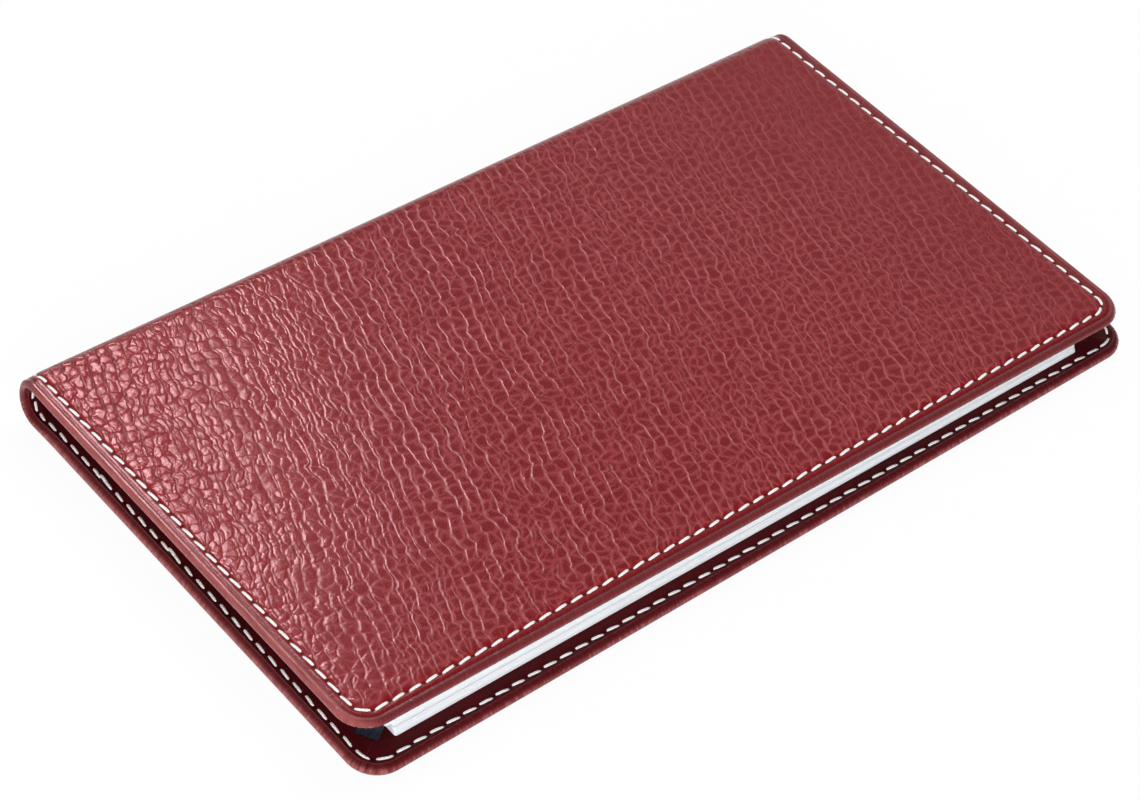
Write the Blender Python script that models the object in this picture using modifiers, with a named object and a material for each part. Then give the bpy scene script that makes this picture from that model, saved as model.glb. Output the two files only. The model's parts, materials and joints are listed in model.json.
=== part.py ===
"""Pocket calendar: a paper insert in a turned-edge leather case, shown closed.

Metres, +Z up. X runs from the spine to the fore-edge, Y along the spine, and the origin
lies on the table under the middle of the closed case. The hide bends round the spine in
narrow strips that hang from the middle one, which swings on two shoulder lines between the
covers, and the insert's sections all turn about one fold line.
"""
import math

import bmesh
import bpy
from mathutils import Matrix, Vector

# Insert
PAGE_WIDTH = 0.087
PAGE_LENGTH = 0.153
PAGE_CORNER_RADIUS = 0.0005
SECTION_COUNT = 12
SECTION_THICKNESS = 0.00028
SECTION_GAP = 0.00005
BLOCK_SLIP = 0.0013
SECTION_SLIP = 0.0001
TOP_SLIP = 0.0014
TOP_COUNT = 3
CARD_THICKNESS = 0.0003
LIE_GAP = 0.0001

# Staples on the fold line
STAPLE_WIRE_RADIUS = 0.00016
STAPLE_LENGTH = 0.012
STAPLE_SPACING = 0.076
STAPLE_LEG_GAP = 0.001
STAPLE_CLINCH_GAP = 0.0001
STAPLE_PAGE_GAP = 0.00013

# Ribbon marker
RIBBON_WIDTH = 0.004
RIBBON_THICKNESS = 0.00014
RIBBON_GAP = 0.00006
RIBBON_CORNER_INSET = 0.0042
RIBBON_OVERHANG = 0.0004
RIBBON_DROOP_RADIUS = 0.0013
RIBBON_END_LENGTH = 0.0006

# Case: what the covers overhang and how thick each layer is
HEAD_MARGIN = 0.010
FORE_MARGIN = 0.0035
FRONT_SETBACK = 0.0023
GUTTER = 0.00385
COVER_CORNER_RADIUS = 0.006
RIM_FLAT = 0.00018
SKIN = 0.0007
BOARD = 0.0004
LINING = 0.0003
POCKET_LEATHER = 0.0005
LAYER_GAP = 0.00006
TURN_WALL = 0.0011
TURN_IN_WIDTH = 0.008
WINDOW_CORNER_RADIUS = 0.0015
POCKET_DEPTH = 0.060
BOARD_SPINE_INSET = 0.002

# Spine: an odd number of strips, so that one lies in the middle
STRIP_COUNT = 7
STRIP_GAP = 0.00006
STRIP_TURN_IN = 0.0007

# Faceting and modelling aids
CORNER_STEPS = 6
RIM_STEPS = 3
STRIP_STEPS = 4
RIBBON_STEPS = 8
BEND_STEPS = 6
WIRE_RESOLUTION = 1
CUT_OVERRUN = 0.002
POSITION_TOLERANCE = 0.000001
PIVOT_DISPLAY_SIZE = 0.004

# Each material's name, colour, roughness and metallic value
MATERIALS = {
    "leather": ("grained_leather", (0.245, 0.018, 0.022, 1.0), 0.45, 0.0),
    "lining": ("smooth_lining", (0.10, 0.006, 0.009, 1.0), 0.40, 0.0),
    "board": ("grey_board", (0.30, 0.27, 0.23, 1.0), 0.85, 0.0),
    "paper": ("paper", (0.83, 0.86, 0.90, 1.0), 0.75, 0.0),
    "card": ("white_card", (0.72, 0.73, 0.74, 1.0), 0.65, 0.0),
    "ribbon": ("satin_ribbon", (0.008, 0.011, 0.018, 1.0), 0.40, 0.0),
    "steel": ("staple_wire", (0.55, 0.56, 0.58, 1.0), 0.30, 1.0),
}

# Heights
BACK_THICKNESS = SKIN + BOARD + LINING + CARD_THICKNESS + POCKET_LEATHER + 4 * LAYER_GAP
FRONT_THICKNESS = SKIN + BOARD + LINING + POCKET_LEATHER + 3 * LAYER_GAP
RIBBON_BELOW = SECTION_COUNT // 2
RIBBON_ROOM = RIBBON_THICKNESS + 2 * RIBBON_GAP
STACK = SECTION_COUNT * (SECTION_THICKNESS + SECTION_GAP) + RIBBON_ROOM + CARD_THICKNESS + 2 * LIE_GAP
HEIGHT = BACK_THICKNESS + STACK + FRONT_THICKNESS
FOLD_Z = BACK_THICKNESS + STACK / 2

# Places along X and Y
SPINE_RADIUS = HEIGHT / 2
CASE_WIDTH = SPINE_RADIUS + GUTTER + PAGE_WIDTH + FORE_MARGIN
CASE_LENGTH = PAGE_LENGTH + 2 * HEAD_MARGIN
SPINE_X = SPINE_RADIUS - CASE_WIDTH / 2
FOLD_X = SPINE_X + GUTTER
STAPLE_REACH = STAPLE_WIRE_RADIUS + STAPLE_CLINCH_GAP / 2
PAGE_SPINE_X = FOLD_X + STAPLE_REACH + STAPLE_WIRE_RADIUS + STAPLE_PAGE_GAP
PAGE_FORE_X = FOLD_X + PAGE_WIDTH
BACK_FORE_X = PAGE_FORE_X + FORE_MARGIN
FRONT_FORE_X = BACK_FORE_X - FRONT_SETBACK
STRIP_ANGLE = math.pi / STRIP_COUNT
MIDDLE_STRIP = (STRIP_COUNT + 1) // 2
STRIP_THICKNESS = SKIN + LINING + STRIP_TURN_IN + 2 * LAYER_GAP

# Depths of the layers, measured inwards from a cover's outer face
BOARD_DEPTH = SKIN + LAYER_GAP
LINING_DEPTH = BOARD_DEPTH + BOARD + LAYER_GAP
TURN_IN_DEPTH = LINING_DEPTH + LINING + LAYER_GAP


def clear_scene():
    for obj in list(bpy.data.objects):
        bpy.data.objects.remove(obj, do_unlink=True)


def new_collection(name):
    collection = bpy.data.collections.new(name)
    bpy.context.scene.collection.children.link(collection)
    return collection


def principled(name, colour, roughness, metallic):
    material = bpy.data.materials.new(name)
    material.use_nodes = True
    shader = material.node_tree.nodes["Principled BSDF"]
    shader.inputs["Base Color"].default_value = colour
    shader.inputs["Roughness"].default_value = roughness
    shader.inputs["Metallic"].default_value = metallic
    return material


def add_object(name, bm, collection, material=None):
    bmesh.ops.recalc_face_normals(bm, faces=bm.faces[:])
    mesh = bpy.data.meshes.new(name)
    bm.to_mesh(mesh)
    bm.free()
    obj = bpy.data.objects.new(name, mesh)
    collection.objects.link(obj)
    if material:
        mesh.materials.append(material)
    return obj


def pivot(name, place, collection, parent=None):
    """Empty on a joint's axis. Its children keep their own places."""
    empty = bpy.data.objects.new(name, None)
    empty.empty_display_size = PIVOT_DISPLAY_SIZE
    collection.objects.link(empty)
    empty["place"] = place
    if parent:
        empty.parent = parent
        empty.location = Vector(place) - Vector(parent["place"])
    else:
        empty.location = place
    return empty


def hang(obj, empty):
    obj.parent = empty
    obj.matrix_parent_inverse = Matrix.Translation(-Vector(empty["place"]))


def full_round(thickness):
    """Radius that turns an edge of this thickness into a half round with a narrow flat."""
    return (thickness - RIM_FLAT) / 2


def plate_mesh(span_x, half_y, span_z, corner_radius, rim_radius=0.0):
    """Flat plate whose two fore-edge corners are round, with an optional round rim.

    The rim leaves the spine side square, where the plate meets its neighbour.
    """
    bm = bmesh.new()
    bmesh.ops.create_cube(bm, size=1.0)
    size = Vector((span_x[1] - span_x[0], 2 * half_y, span_z[1] - span_z[0]))
    centre = Vector((sum(span_x) / 2, 0.0, sum(span_z) / 2))
    bmesh.ops.scale(bm, vec=size, verts=bm.verts)
    bmesh.ops.translate(bm, vec=centre, verts=bm.verts)
    fore = [e for e in bm.edges
            if abs(e.verts[0].co.z - e.verts[1].co.z) > POSITION_TOLERANCE
            and e.verts[0].co.x > centre.x]
    bmesh.ops.bevel(bm, geom=fore, offset=corner_radius, segments=CORNER_STEPS, profile=0.5,
                    affect="EDGES", material=-1)
    if rim_radius:
        rim = [e for e in bm.edges
               if abs(e.verts[0].co.z - e.verts[1].co.z) < POSITION_TOLERANCE
               and max(v.co.x for v in e.verts) > span_x[0] + POSITION_TOLERANCE]
        bmesh.ops.bevel(bm, geom=rim, offset=rim_radius, segments=RIM_STEPS, profile=0.5,
                        affect="EDGES", material=-1)
    return bm


def sector_mesh(span_r, half_y, span_a, end_radius=0.0):
    """Slice of a half-round wall about the spine, between two angles, with round ends."""
    bm = bmesh.new()
    bmesh.ops.create_grid(bm, x_segments=1, y_segments=1, size=0.5)
    size = Vector((span_r[1] - span_r[0], 2 * half_y, 1.0))
    bmesh.ops.scale(bm, vec=size, verts=bm.verts)
    bmesh.ops.translate(bm, vec=Vector((sum(span_r) / 2, 0.0, 0.0)), verts=bm.verts)
    if end_radius:
        bmesh.ops.bevel(bm, geom=bm.verts[:], offset=end_radius, segments=RIM_STEPS, profile=0.5,
                        affect="VERTICES", material=-1)
    bmesh.ops.rotate(bm, cent=Vector(), matrix=Matrix.Rotation(-span_a[0], 3, "Y"), verts=bm.verts)
    bmesh.ops.spin(bm, geom=bm.verts[:] + bm.edges[:] + bm.faces[:], cent=Vector(),
                   axis=Vector((0.0, 1.0, 0.0)), angle=span_a[0] - span_a[1], steps=STRIP_STEPS,
                   use_merge=False, use_duplicate=False)
    bmesh.ops.translate(bm, vec=Vector((SPINE_X, 0.0, SPINE_RADIUS)), verts=bm.verts)
    return bm


def cut_away(obj, bm, cutters):
    cutter = add_object(obj.name + "_cutter", bm, cutters)
    cutter.hide_render = True
    cutter.display_type = "WIRE"
    modifier = obj.modifiers.new("cut", "BOOLEAN")
    modifier.operation = "DIFFERENCE"
    modifier.solver = "EXACT"
    modifier.object = cutter


def layer(side, depth, thickness):
    """Height span of a layer that starts at a depth below the outer face of one cover."""
    if side == "back":
        return (depth, depth + thickness)
    return (HEIGHT - depth - thickness, HEIGHT - depth)


def make_cover(side, fore_x, thickness, collection, cutters, materials):
    """One cover: grained skin with its turned-in edge, board, lining and pocket panel."""
    half = CASE_LENGTH / 2
    spine_open = SPINE_X - CUT_OVERRUN
    leather = add_object(
        side + "_cover_leather",
        plate_mesh((SPINE_X, fore_x), half, layer(side, 0.0, thickness), COVER_CORNER_RADIUS,
                   full_round(thickness)),
        collection, materials["leather"])
    bed = plate_mesh((spine_open, fore_x - TURN_WALL), half - TURN_WALL,
                     layer(side, SKIN, TURN_IN_DEPTH - SKIN), COVER_CORNER_RADIUS - TURN_WALL)
    cut_away(leather, bed, cutters)
    window = plate_mesh((spine_open, fore_x - TURN_IN_WIDTH), half - TURN_IN_WIDTH,
                        layer(side, TURN_IN_DEPTH - LAYER_GAP, thickness), WINDOW_CORNER_RADIUS)
    cut_away(leather, window, cutters)

    bed_fore = fore_x - TURN_WALL - LAYER_GAP
    bed_half = half - TURN_WALL - LAYER_GAP
    bed_corner = COVER_CORNER_RADIUS - TURN_WALL - LAYER_GAP
    board = add_object(
        side + "_board",
        plate_mesh((SPINE_X + BOARD_SPINE_INSET, bed_fore), bed_half, layer(side, BOARD_DEPTH, BOARD),
                   bed_corner),
        collection, materials["board"])
    lining = add_object(
        side + "_lining",
        plate_mesh((SPINE_X, bed_fore), bed_half, layer(side, LINING_DEPTH, LINING), bed_corner),
        collection, materials["lining"])
    pocket_fore = fore_x - TURN_IN_WIDTH - LAYER_GAP
    pocket = add_object(
        side + "_pocket",
        plate_mesh((pocket_fore - POCKET_DEPTH, pocket_fore), half - TURN_IN_WIDTH - LAYER_GAP,
                   layer(side, thickness - POCKET_LEATHER, POCKET_LEATHER), WINDOW_CORNER_RADIUS),
        collection, materials["lining"])
    return [leather, board, lining, pocket]


def make_strip(number, collection, cutters, materials):
    """One slice of the hide and its lining, with the hide turned in at both ends of the spine."""
    half = CASE_LENGTH / 2
    start = 1.5 * math.pi - (number - 1) * STRIP_ANGLE
    outer, inner = SPINE_RADIUS, SPINE_RADIUS - STRIP_THICKNESS
    trim = STRIP_GAP / 2 / inner
    span = (start - trim, start - STRIP_ANGLE + trim)
    leather = add_object(
        f"spine_leather_{number}",
        sector_mesh((inner, outer), half, span, full_round(STRIP_THICKNESS)),
        collection, materials["leather"])
    overrun = CUT_OVERRUN / outer
    wide = (start + overrun, start - STRIP_ANGLE - overrun)
    window = sector_mesh((inner - STRIP_TURN_IN, outer - SKIN), half - TURN_IN_WIDTH, wide)
    cut_away(leather, window, cutters)
    lining_outer = outer - SKIN - LAYER_GAP
    lining = add_object(
        f"spine_lining_{number}",
        sector_mesh((lining_outer - LINING, lining_outer), half - TURN_IN_WIDTH - LAYER_GAP, span),
        collection, materials["lining"])
    return [leather, lining]


def section_bottom(number):
    """Height of a section's lower face. The ribbon lies above the lower half of the sections."""
    z = BACK_THICKNESS + LIE_GAP + (number - 1) * (SECTION_THICKNESS + SECTION_GAP)
    return z + (RIBBON_ROOM if number > RIBBON_BELOW else 0.0)


def section_slip(number):
    """How far a section has slipped towards the foot: a little more than the one below, the top few most."""
    slip = BLOCK_SLIP + (number - 1) * SECTION_SLIP
    return slip + (TOP_SLIP if number > SECTION_COUNT - TOP_COUNT else 0.0)


def leaf_mesh(z, thickness, slip):
    """Flat sheet of the insert's own size, slipped towards the foot of the case."""
    bm = plate_mesh((PAGE_SPINE_X, PAGE_FORE_X), PAGE_LENGTH / 2, (z, z + thickness), PAGE_CORNER_RADIUS)
    bmesh.ops.translate(bm, vec=Vector((0.0, -slip, 0.0)), verts=bm.verts)
    return bm


def make_section(number, collection, materials):
    bm = leaf_mesh(section_bottom(number), SECTION_THICKNESS, section_slip(number))
    return add_object(f"page_section_{number:02d}", bm, collection, materials["paper"])


def make_front_card(collection, materials):
    z = HEIGHT - FRONT_THICKNESS - LIE_GAP - CARD_THICKNESS
    bm = leaf_mesh(z, CARD_THICKNESS, section_slip(SECTION_COUNT) + SECTION_SLIP)
    return add_object("front_card", bm, collection, materials["card"])


def make_back_card(collection, materials):
    """The insert's back card, pushed into the back pocket between the lining and the panel."""
    fore = BACK_FORE_X - TURN_IN_WIDTH - 2 * LAYER_GAP
    bm = plate_mesh((PAGE_SPINE_X, fore), CASE_LENGTH / 2 - TURN_IN_WIDTH - 2 * LAYER_GAP,
                    layer("back", TURN_IN_DEPTH, CARD_THICKNESS), WINDOW_CORNER_RADIUS)
    return add_object("back_card", bm, collection, materials["card"])


def make_staple(number, collection, materials):
    """Wire staple at the fold: a crown with both legs bent in and clinched back along it."""
    side = -1 if number == 1 else 1
    straight = STAPLE_LENGTH / 2 - STAPLE_REACH
    arc = [math.pi * i / BEND_STEPS for i in range(BEND_STEPS + 1)]
    upper = [(-STAPLE_REACH * math.cos(a), straight + STAPLE_REACH * math.sin(a)) for a in arc]
    lower = [(x, -y) for x, y in upper]
    leg_end = STAPLE_LEG_GAP / 2
    route = [(STAPLE_REACH, -leg_end)] + lower[::-1] + upper + [(STAPLE_REACH, leg_end)]
    curve = bpy.data.curves.new(f"staple_{number}", "CURVE")
    curve.dimensions = "3D"
    curve.bevel_depth = STAPLE_WIRE_RADIUS
    curve.bevel_resolution = WIRE_RESOLUTION
    curve.use_fill_caps = True
    spline = curve.splines.new("POLY")
    spline.points.add(len(route) - 1)
    for point, (x, y) in zip(spline.points, route):
        point.co = (x, y, 0.0, 1.0)
    staple = bpy.data.objects.new(f"staple_{number}", curve)
    staple.location = (FOLD_X, side * STAPLE_SPACING / 2, FOLD_Z)
    curve.materials.append(materials["steel"])
    collection.objects.link(staple)
    return staple


def ribbon_route():
    """Middle line of the ribbon: flat across the block, then down in an S to lie on the cover."""
    z = section_bottom(RIBBON_BELOW + 1) - SECTION_GAP - RIBBON_ROOM / 2
    slip = section_slip(RIBBON_BELOW)
    head = Vector((PAGE_SPINE_X + RIBBON_WIDTH, PAGE_LENGTH / 2 - slip - RIBBON_WIDTH, z))
    edge = Vector((PAGE_FORE_X - RIBBON_CORNER_INSET, -PAGE_LENGTH / 2 - slip - RIBBON_OVERHANG, z))
    along = (edge - head).normalized()
    down = Vector((0.0, 0.0, -1.0))
    drop = z - BACK_THICKNESS - LIE_GAP - RIBBON_THICKNESS / 2
    turn = math.acos(1 - drop / (2 * RIBBON_DROOP_RADIUS))
    reach = 2 * RIBBON_DROOP_RADIUS * math.sin(turn)
    points = [head.lerp(edge, i / RIBBON_STEPS) for i in range(RIBBON_STEPS + 1)]
    angles = [turn * i / BEND_STEPS for i in range(1, BEND_STEPS + 1)]
    bend = [(RIBBON_DROOP_RADIUS * math.sin(a), RIBBON_DROOP_RADIUS * (1 - math.cos(a))) for a in angles]
    points += [edge + forward * along + fall * down for forward, fall in bend]
    back = [(reach - forward, drop - fall) for forward, fall in bend[-2::-1]] + [(reach, drop)]
    points += [edge + forward * along + fall * down for forward, fall in back]
    points.append(points[-1] + RIBBON_END_LENGTH * along)
    return points, along.cross(down).normalized()


def make_ribbon(collection, materials):
    route, across = ribbon_route()
    bm = bmesh.new()
    rail = [bm.verts.new(p - across * RIBBON_WIDTH / 2) for p in route]
    edges = [bm.edges.new(pair) for pair in zip(rail, rail[1:])]
    swept = bmesh.ops.extrude_edge_only(bm, edges=edges)["geom"]
    moved = [v for v in swept if isinstance(v, bmesh.types.BMVert)]
    bmesh.ops.translate(bm, vec=across * RIBBON_WIDTH, verts=moved)
    ribbon = add_object("ribbon_marker", bm, collection, materials["ribbon"])
    wall = ribbon.modifiers.new("thickness", "SOLIDIFY")
    wall.thickness = RIBBON_THICKNESS
    wall.offset = 0.0
    return ribbon


def hinge_point(number):
    """Fold line between a strip and the next one, on the outer face of the hide."""
    a = 1.5 * math.pi - number * STRIP_ANGLE
    return (SPINE_X + SPINE_RADIUS * math.cos(a), 0.0, SPINE_RADIUS * (1 + math.sin(a)))


def shoulder_point(side):
    """Line about which a quarter turn takes the middle strip from its closed place to the open, flat one."""
    closed = Vector((-SPINE_RADIUS * math.cos(STRIP_ANGLE / 2), SPINE_RADIUS))
    opened = Vector((-STRIP_COUNT * SPINE_RADIUS * math.sin(STRIP_ANGLE / 2), 0.0))
    travel = opened - closed
    centre = (closed + opened + Vector((-travel.y, travel.x))) / 2
    z = centre.y if side == "back" else HEIGHT - centre.y
    return (SPINE_X + centre.x, 0.0, z)


def main():
    clear_scene()
    parts = new_collection("pocket_calendar")
    cutters = new_collection("cutters")
    materials = {key: principled(*look) for key, look in MATERIALS.items()}

    make_cover("back", BACK_FORE_X, BACK_THICKNESS, parts, cutters, materials)
    make_back_card(parts, materials)
    for number in (1, 2):
        make_staple(number, parts, materials)

    middle = pivot("spine_bend_back", shoulder_point("back"), parts)
    for piece in make_strip(MIDDLE_STRIP, parts, cutters, materials):
        hang(piece, middle)
    joint = middle
    for number in range(MIDDLE_STRIP - 1, 0, -1):
        joint = pivot(f"spine_fold_{number}", hinge_point(number), parts, joint)
        for piece in make_strip(number, parts, cutters, materials):
            hang(piece, joint)
    joint = middle
    for number in range(MIDDLE_STRIP + 1, STRIP_COUNT + 1):
        joint = pivot(f"spine_fold_{number}", hinge_point(number - 1), parts, joint)
        for piece in make_strip(number, parts, cutters, materials):
            hang(piece, joint)
    cover_joint = pivot("spine_bend_front", shoulder_point("front"), parts, middle)
    for piece in make_cover("front", FRONT_FORE_X, FRONT_THICKNESS, parts, cutters, materials):
        hang(piece, cover_joint)

    fold = (FOLD_X, 0.0, FOLD_Z)
    for number in range(1, SECTION_COUNT + 1):
        turn = pivot(f"page_turn_{number:02d}", fold, parts)
        hang(make_section(number, parts, materials), turn)
        if number == RIBBON_BELOW:
            hang(make_ribbon(parts, materials), turn)
    hang(make_front_card(parts, materials), pivot("front_card_turn", fold, parts))


main()
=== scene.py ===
"""Pocket calendar: a turned-edge leather case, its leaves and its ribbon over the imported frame.

The hide is drawn flat, as a bag maker cuts it, and then folded round the leaves, so that the grain,
the turned edge and the seam run on from the back cover over the spine to the front.
"""

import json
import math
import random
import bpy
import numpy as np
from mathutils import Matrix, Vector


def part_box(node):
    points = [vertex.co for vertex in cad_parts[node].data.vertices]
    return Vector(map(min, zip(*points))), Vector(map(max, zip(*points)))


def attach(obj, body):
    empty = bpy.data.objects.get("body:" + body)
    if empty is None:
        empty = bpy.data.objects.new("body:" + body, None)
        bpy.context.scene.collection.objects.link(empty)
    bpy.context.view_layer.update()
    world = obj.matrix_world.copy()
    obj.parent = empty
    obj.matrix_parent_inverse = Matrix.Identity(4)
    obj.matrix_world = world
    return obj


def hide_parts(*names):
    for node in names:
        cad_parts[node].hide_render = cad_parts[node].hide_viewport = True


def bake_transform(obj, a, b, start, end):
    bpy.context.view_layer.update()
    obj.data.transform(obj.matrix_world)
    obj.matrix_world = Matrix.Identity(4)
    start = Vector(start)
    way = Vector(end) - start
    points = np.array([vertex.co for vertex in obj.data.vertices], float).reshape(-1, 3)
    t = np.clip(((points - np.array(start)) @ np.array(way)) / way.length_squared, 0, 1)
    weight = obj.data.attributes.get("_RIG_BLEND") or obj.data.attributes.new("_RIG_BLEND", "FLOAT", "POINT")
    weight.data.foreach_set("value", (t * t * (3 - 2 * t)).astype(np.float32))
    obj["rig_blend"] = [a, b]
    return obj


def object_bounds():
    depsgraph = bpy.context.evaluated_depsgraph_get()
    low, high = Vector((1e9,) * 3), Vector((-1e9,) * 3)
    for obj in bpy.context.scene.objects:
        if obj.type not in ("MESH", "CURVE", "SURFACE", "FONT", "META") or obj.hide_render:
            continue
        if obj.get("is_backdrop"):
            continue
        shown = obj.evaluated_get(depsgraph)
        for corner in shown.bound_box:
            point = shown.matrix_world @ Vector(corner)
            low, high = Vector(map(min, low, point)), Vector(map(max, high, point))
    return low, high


bl_info = {
    "name": "Pocket Calendar Case",
    "version": (1, 0, 0),
    "blender": (4, 5, 0),
    "location": "View3D > Sidebar > Calendar",
    "description": "Leather case, seams, leaves, cards, staples and ribbon of a pocket calendar",
    "category": "Add Mesh",
}

from bisect import bisect_right

import bmesh
import bpy
from bpy.props import FloatProperty, FloatVectorProperty, IntProperty, PointerProperty
from bpy.types import Operator, Panel, PropertyGroup
from mathutils import Matrix, Vector

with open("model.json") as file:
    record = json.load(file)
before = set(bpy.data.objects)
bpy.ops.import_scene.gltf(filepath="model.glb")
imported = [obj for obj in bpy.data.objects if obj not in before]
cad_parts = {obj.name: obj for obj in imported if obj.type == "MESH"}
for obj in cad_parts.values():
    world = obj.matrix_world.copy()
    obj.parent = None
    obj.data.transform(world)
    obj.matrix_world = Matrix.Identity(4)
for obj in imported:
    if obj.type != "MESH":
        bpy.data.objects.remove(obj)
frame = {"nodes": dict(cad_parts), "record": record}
CAD_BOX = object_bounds()
MM = 0.001
MERGE = 0.001 * MM
UV_SCALE = 10


def named(start):
    """CAD nodes whose names start alike."""
    return sorted(name for name in frame["nodes"] if name.startswith(start))


# Sizes of the case, read from the frame
BACK_LOW, BACK_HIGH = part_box("back_cover_leather")
FRONT_LOW, FRONT_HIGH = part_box("front_cover_leather")
MIDDLE_LOW, MIDDLE_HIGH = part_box("spine_leather_4")
HEIGHT = FRONT_HIGH.z
BACK_THICK = BACK_HIGH.z
FRONT_THICK = FRONT_HIGH.z - FRONT_LOW.z
SPINE_THICK = MIDDLE_HIGH.x - MIDDLE_LOW.x
STACK = HEIGHT - BACK_THICK - FRONT_THICK
HALF_LENGTH = BACK_HIGH.y
SPINE_X = BACK_LOW.x
BEND = HEIGHT / 2
HALF_ARC = math.pi * BEND / 2
STRIPS = len(named("spine_leather"))
STRIP_WIDTH = 2 * HALF_ARC / STRIPS
SECTIONS = named("page_section")
INSERT_SLOTS = ("paper", "card", "ribbon", "staple")
BODIES = frame["record"]["behaviour"]["bodies"]
BODY_OF = {node: body for body, nodes in BODIES.items() for node in nodes}


def clamp(value, low=0.0, high=1.0):
    return max(low, min(high, value))


def toned(color, factor):
    """A darker or brighter tone of a colour."""
    return (*(factor * part for part in color[:3]), 1)


def length_prop(name, description, millimetres):
    return FloatProperty(name=name, description=description, default=millimetres * MM, unit="LENGTH")


def angle_prop(name, description, degrees):
    return FloatProperty(name=name, description=description, default=math.radians(degrees), subtype="ANGLE")


def power_prop(name, lamp, watts):
    return FloatProperty(name=name, description="Power of " + lamp, default=watts, unit="POWER")


def color_prop(name, piece, *parts):
    return FloatVectorProperty(
        name=name, description="Colour of " + piece, default=(*parts, 1), size=4, subtype="COLOR", min=0,
        max=1)


class CaseSettings(PropertyGroup):
    """Sizes and colours of the leather case and its seams."""

    corner_radius: length_prop("Corner radius", "Radius of the cover's corners", 6)
    seam_inset: length_prop("Outer seam inset", "From the cover's edge to the seam on its outside", 2.72)
    inner_seam_inset: length_prop(
        "Inner seam inset", "From the cover's edge to the seam on its inside", 2.1)
    stitch_pitch: length_prop("Stitch pitch", "From one needle hole to the next", 3.3)
    stitch_share: FloatProperty(
        name="Stitch share", description="Share of the pitch that the thread shows", default=0.8,
        subtype="FACTOR", min=0.3, max=0.95)
    thread_width: length_prop("Thread width", "Width of a stitch", 0.58)
    rim_reach: length_prop("Rim reach", "How far in from the edge the turned edge stays round", 1.15)
    turn_in: length_prop("Turned-in width", "Width of the leather turned in round the covers", 8)
    skin: length_prop("Skin", "Thickness of the outer leather", 0.7)
    lift: length_prop("Lift", "How far the front cover stands up at the foot and down at the head", 1.2)
    skew: length_prop("Skew", "How far the back cover's fore edge comes out further at the foot", 1.2)
    leather_color: color_prop("Leather", "the grained leather", 0.182, 0.0070, 0.0098)
    # Painted highlight: the paler crease colour stands for the glint on the crease walls
    crease_glint_color: color_prop("Creases", "the creases of the grain", 0.27, 0.028, 0.033)
    rim_color: color_prop("Rim", "the turned edge", 0.125, 0.014, 0.017)
    # Pale colour for wear of the edge and of the lining, and for painted highlight on the grain's fine lines
    # and on the lit side of the edge
    wear_and_glint_color: color_prop(
        "Worn", "the grain's fine lines and of the edge where it is rubbed", 0.42, 0.115, 0.110)
    lining_color: color_prop("Lining", "the smooth lining", 0.065, 0.0028, 0.0048)
    thread_color: color_prop("Thread", "the seam thread", 0.97, 0.96, 0.94)


class InsertSettings(PropertyGroup):
    """Sizes and colours of the leaves, the cards and the ribbon."""

    leaves: IntProperty(name="Leaves", description="Leaves in each section", default=4, min=1, max=8)
    corner_radius: length_prop("Leaf corner", "Radius of a leaf's outer corners", 0.45)
    rule_pitch: length_prop("Rule pitch", "From one ruled line to the next", 6.5)
    paper_color: color_prop("Paper", "the leaves", 0.87, 0.89, 0.92)
    rule_color: color_prop("Rules", "the ruled lines", 0.42, 0.47, 0.55)
    card_color: color_prop("Card", "the end cards", 0.72, 0.73, 0.74)
    board_color: color_prop("Board", "the board in the covers", 0.30, 0.27, 0.23)
    ribbon_color: color_prop("Ribbon", "the marker ribbon", 0.008, 0.011, 0.018)
    steel_color: color_prop("Staples", "the staples", 0.55, 0.56, 0.58)


class StageSettings(PropertyGroup):
    """Camera, lamps and floor."""

    azimuth: angle_prop("Azimuth", "Camera's turn round the object", 46.13)
    elevation: angle_prop("Elevation", "Camera's height angle", 45.054)
    roll: angle_prop("Roll", "Camera's turn round its own axis", 6.678)
    distance: length_prop("Distance", "From the camera to its target", 609.083)
    target: FloatVectorProperty(
        name="Target", description="Point that the camera looks at", size=3, subtype="TRANSLATION",
        default=(-1.986 * MM, -2.356 * MM, -5.346 * MM))
    lens: FloatProperty(
        name="Lens", description="Focal length on a 36 mm wide sensor, in millimetres", default=108.61,
        min=1)
    key_power: power_prop("Key power", "the soft box at the spine side", 1.05)
    over_power: power_prop("Over power", "the soft light overhead", 5.6)
    side_power: power_prop("Side power", "the soft box at the foot", 0.5)
    fill_power: power_prop("Fill power", "the soft light beside the camera", 9.9)
    backdrop_power: power_prop("Backdrop power", "the pale card behind the head", 0.30)
    room_light: FloatProperty(
        name="Room light", description="Strength of the even light all round", default=0.07, min=0)
    floor_color: color_prop("Floor", "the floor", 0.95, 0.95, 0.95)


class Wire:
    """A shader socket that takes part in arithmetic; each operation adds a Math node."""

    def __init__(self, finish, socket):
        self.finish = finish
        self.socket = socket

    def combine(self, operation, first, second):
        return self.finish.node("ShaderNodeMath", {"operation": operation}, {0: first, 1: second})

    def __add__(self, other):
        return self.combine("ADD", self, other)

    __radd__ = __add__

    def __sub__(self, other):
        return self.combine("SUBTRACT", self, other)

    def __rsub__(self, other):
        return self.combine("SUBTRACT", other, self)

    def __mul__(self, other):
        return self.combine("MULTIPLY", self, other)

    def __pow__(self, other):
        return self.combine("POWER", self, other)


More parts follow.
